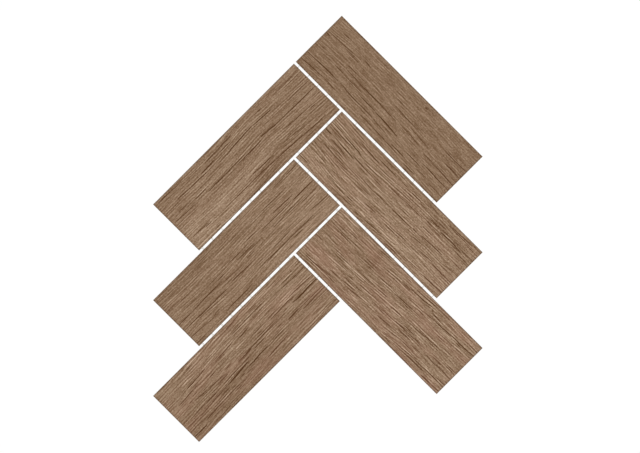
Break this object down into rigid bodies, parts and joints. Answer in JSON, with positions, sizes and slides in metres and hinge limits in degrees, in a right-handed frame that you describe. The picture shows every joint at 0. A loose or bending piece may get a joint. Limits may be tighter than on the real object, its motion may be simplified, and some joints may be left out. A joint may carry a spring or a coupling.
{
  "type": "herringbone mosaic tile sheet",
  "caption": "Flat sheet of narrow wood-look porcelain tiles laid in a herringbone at 45 degrees with open joints, glued to a glass-fibre backing net.",
  "frame": {"origin": "middle of the sheet's outline, on the underside of the backing net", "axes": "+Z out of the decorated faces, +Y along the spine of the herringbone towards its top tile, +X to the side of the tiles that run down to the right"},
  "size_m": [0.2532, 0.3274, 0.0095],
  "materials": {
    "porcelain": "matte",
    "net": "matte"
  },
  "bodies": {
    "root": {"tile_right_1": "porcelain", "tile_right_2": "porcelain", "tile_right_3": "porcelain", "tile_left_1": "porcelain", "tile_left_2": "porcelain", "tile_left_3": "porcelain", "net_right_1": "net", "net_right_2": "net", "net_right_3": "net", "net_left_1": "net", "net_left_2": "net", "net_left_3": "net"}
  },
  "joints": []
}
